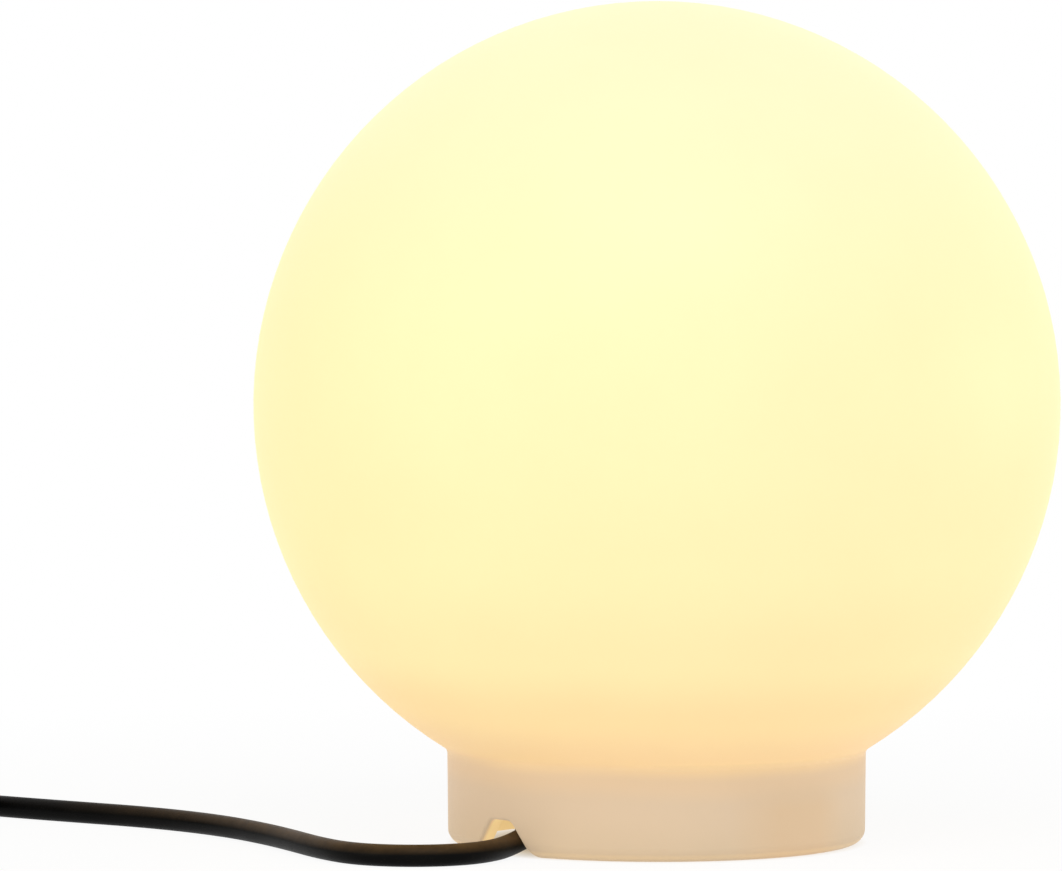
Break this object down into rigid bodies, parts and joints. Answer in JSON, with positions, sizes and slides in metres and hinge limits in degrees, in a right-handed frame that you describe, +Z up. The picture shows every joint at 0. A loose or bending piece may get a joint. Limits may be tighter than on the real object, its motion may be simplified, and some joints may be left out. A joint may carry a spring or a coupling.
{
  "type": "garden globe light",
  "caption": "Round glowing garden lamp: an opal globe on a short neck that lifts off its base, a screw-in bulb inside, and a flex with a plug leaving through a notch in the rim.",
  "frame": {"origin": "on the ground, on the globe's axis", "axes": "+Z up along the globe's axis; -Y to the front, as pictured; the cable notch is at 222.5 degrees from +X, counter-clockwise from above"},
  "size_m": [0.4461, 0.25, 0.261],
  "materials": {
    "globe": "fine rotomoulded skin, lit from inside",
    "base_plastic": "moulded black",
    "cover_plastic": "fine spark-eroded",
    "gland_plastic": "moulded black",
    "clamp_plastic": "moulded",
    "seal_rubber": "matt",
    "foot_rubber": "matt",
    "cord_rubber": "slightly sheened",
    "plug_rubber": "fine matt",
    "screw_steel": "zinc plated",
    "brass_part": "turned",
    "spring_brass": "rolled",
    "block_plastic": "moulded",
    "wire_brown": "smooth insulation",
    "wire_blue": "smooth insulation",
    "holder_plastic": "moulded",
    "holder_core": "glazed ceramic",
    "sleeve_metal": "rolled",
    "bulb_diffuser": "frosted, lit",
    "bulb_plastic": "white moulded",
    "led_board": "white solder mask",
    "led_chip": "phosphor, lit",
    "driver_board": "circuit board",
    "cap_metal": "nickel plated, rolled",
    "cap_glass": "dark glass",
    "cap_solder": "solder",
    "tie_fabric": "woven hook-and-loop strap",
    "pin_nickel": "nickel plated"
  },
  "bodies": {
    "base": {"base_tray": "base_plastic", "neck_seal": "seal_rubber", "globe_screws": "screw_steel", "bottom_cover": "cover_plastic", "cover_gasket": "seal_rubber", "cover_screws": "screw_steel", "rubber_feet": "foot_rubber", "gland_body": "gland_plastic", "gland_washer": "seal_rubber", "gland_locknut": "gland_plastic", "gland_seal": "seal_rubber", "gland_dome_nut": "gland_plastic", "cord_inner": "cord_rubber", "cord_clamp": "clamp_plastic", "clamp_screws": "screw_steel", "terminal_block": "block_plastic", "terminal_inserts": "brass_part", "terminal_screws": "screw_steel", "wire_live_supply": "wire_brown", "wire_neutral_supply": "wire_blue", "wire_live_lamp": "wire_brown", "wire_neutral_lamp": "wire_blue", "lampholder_housing": "holder_plastic", "lampholder_screws": "screw_steel", "lampholder_core": "holder_core", "threaded_sleeve": "sleeve_metal", "centre_contact": "spring_brass", "holder_terminals": "brass_part", "cord_free": "cord_rubber", "cord_coil": "cord_rubber", "coil_tie": "tie_fabric", "plug_body": "plug_rubber", "plug_pins": "pin_nickel"},
    "globe": {"globe_shell": "globe"},
    "bulb_collar": {"bulb_seal": "seal_rubber"},
    "bulb": {"bulb_dome": "bulb_diffuser", "bulb_housing": "bulb_plastic", "led_board": "led_board", "led_chips": "led_chip", "driver_board": "driver_board", "cap_shell": "cap_metal", "cap_insulator": "cap_glass", "cap_contact": "cap_solder"}
  },
  "joints": [
    {"name": "globe_lift", "type": "slide", "parent": "base", "child": "globe", "axis": [0, 0, 1], "range_m": [0, 0.25]},
    {"name": "bulb_lift", "type": "slide", "parent": "base", "child": "bulb_collar", "axis": [0, 0, 1], "range_m": [0, 0.02541]},
    {"name": "bulb_turn", "type": "hinge", "parent": "bulb_collar", "child": "bulb", "pos_m": [0, 0, 0.07], "axis": [0, 0, 1], "range_deg": [0, 2520]}
  ],
  "couplings": [
    {"joint": "bulb_lift", "follows": "bulb_turn", "m_per_rad": 0.00057757}
  ]
}
